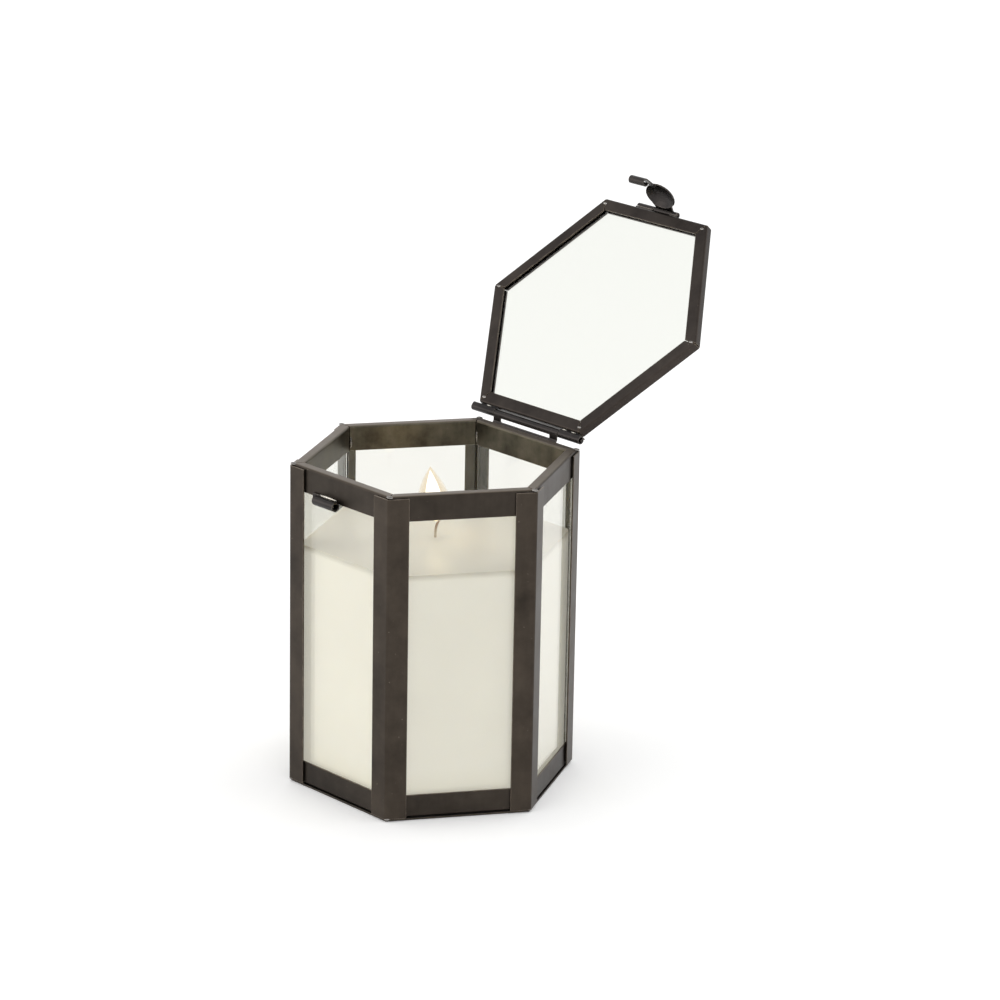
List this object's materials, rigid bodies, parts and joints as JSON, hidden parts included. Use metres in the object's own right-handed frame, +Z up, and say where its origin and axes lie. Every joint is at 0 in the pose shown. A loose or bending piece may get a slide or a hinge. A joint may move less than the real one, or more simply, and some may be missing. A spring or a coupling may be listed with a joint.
{
  "type": "candle lantern",
  "caption": "Hexagonal glass candle lantern in a dark folded-metal frame, with a poured candle, a hinged glazed lid and a swinging hasp that snaps under a catch.",
  "frame": {"origin": "centre of the base plate's underside", "axes": "+Z up, X along the lid's hinge, -Y towards the latch side, +Y towards the hinge"},
  "size_m": [0.1146, 0.1718, 0.2168],
  "materials": {
    "dark_patina": "dark brown-black patina on folded sheet, satin with faint streaks",
    "clear_glass": "clear, polished, faint green edge",
    "cream_wax": "cream candle wax, soft sheen",
    "cotton_wick": "braided cotton, charred at the tip",
    "tin": "tinned sheet"
  },
  "bodies": {
    "lantern": {"base_plate": "dark_patina", "bottom_rail_front": "dark_patina", "bottom_rail_front_right": "dark_patina", "bottom_rail_back_right": "dark_patina", "bottom_rail_back": "dark_patina", "bottom_rail_back_left": "dark_patina", "bottom_rail_front_left": "dark_patina", "top_rail_front": "dark_patina", "top_rail_front_right": "dark_patina", "top_rail_back_right": "dark_patina", "top_rail_back": "dark_patina", "top_rail_back_left": "dark_patina", "top_rail_front_left": "dark_patina", "corner_post_front_left": "dark_patina", "corner_post_front_right": "dark_patina", "corner_post_right": "dark_patina", "corner_post_back_right": "dark_patina", "corner_post_back_left": "dark_patina", "corner_post_left": "dark_patina", "catch_tube": "dark_patina", "hinge_body_knuckle": "dark_patina", "hinge_pin": "dark_patina", "glass_pane_front": "clear_glass", "glass_pane_front_right": "clear_glass", "glass_pane_back_right": "clear_glass", "glass_pane_back": "clear_glass", "glass_pane_back_left": "clear_glass", "glass_pane_front_left": "clear_glass", "candle_wax": "cream_wax", "candle_wick": "cotton_wick", "wick_sustainer": "tin"},
    "lid": {"lid_rail_front": "dark_patina", "lid_rail_front_right": "dark_patina", "lid_rail_back_right": "dark_patina", "lid_rail_back": "dark_patina", "lid_rail_back_left": "dark_patina", "lid_rail_front_left": "dark_patina", "hinge_lid_knuckle_left": "dark_patina", "hinge_lid_knuckle_right": "dark_patina", "hasp_knuckle_left": "dark_patina", "hasp_knuckle_right": "dark_patina", "hasp_pin": "dark_patina", "lid_glass": "clear_glass"},
    "hasp": {"hasp_plate": "dark_patina", "hasp_roll": "dark_patina"}
  },
  "joints": [
    {"name": "lid_hinge", "type": "hinge", "parent": "lantern", "child": "lid", "pos_m": [0, 0.0504, 0.12885], "axis": [-1, 0, 0], "range_deg": [-133, 0]},
    {"name": "hasp_hinge", "type": "hinge", "parent": "lid", "child": "hasp", "pos_m": [0, 0.11937, 0.20186], "axis": [-1, 0, 0], "range_deg": [-10, 170]}
  ]
}
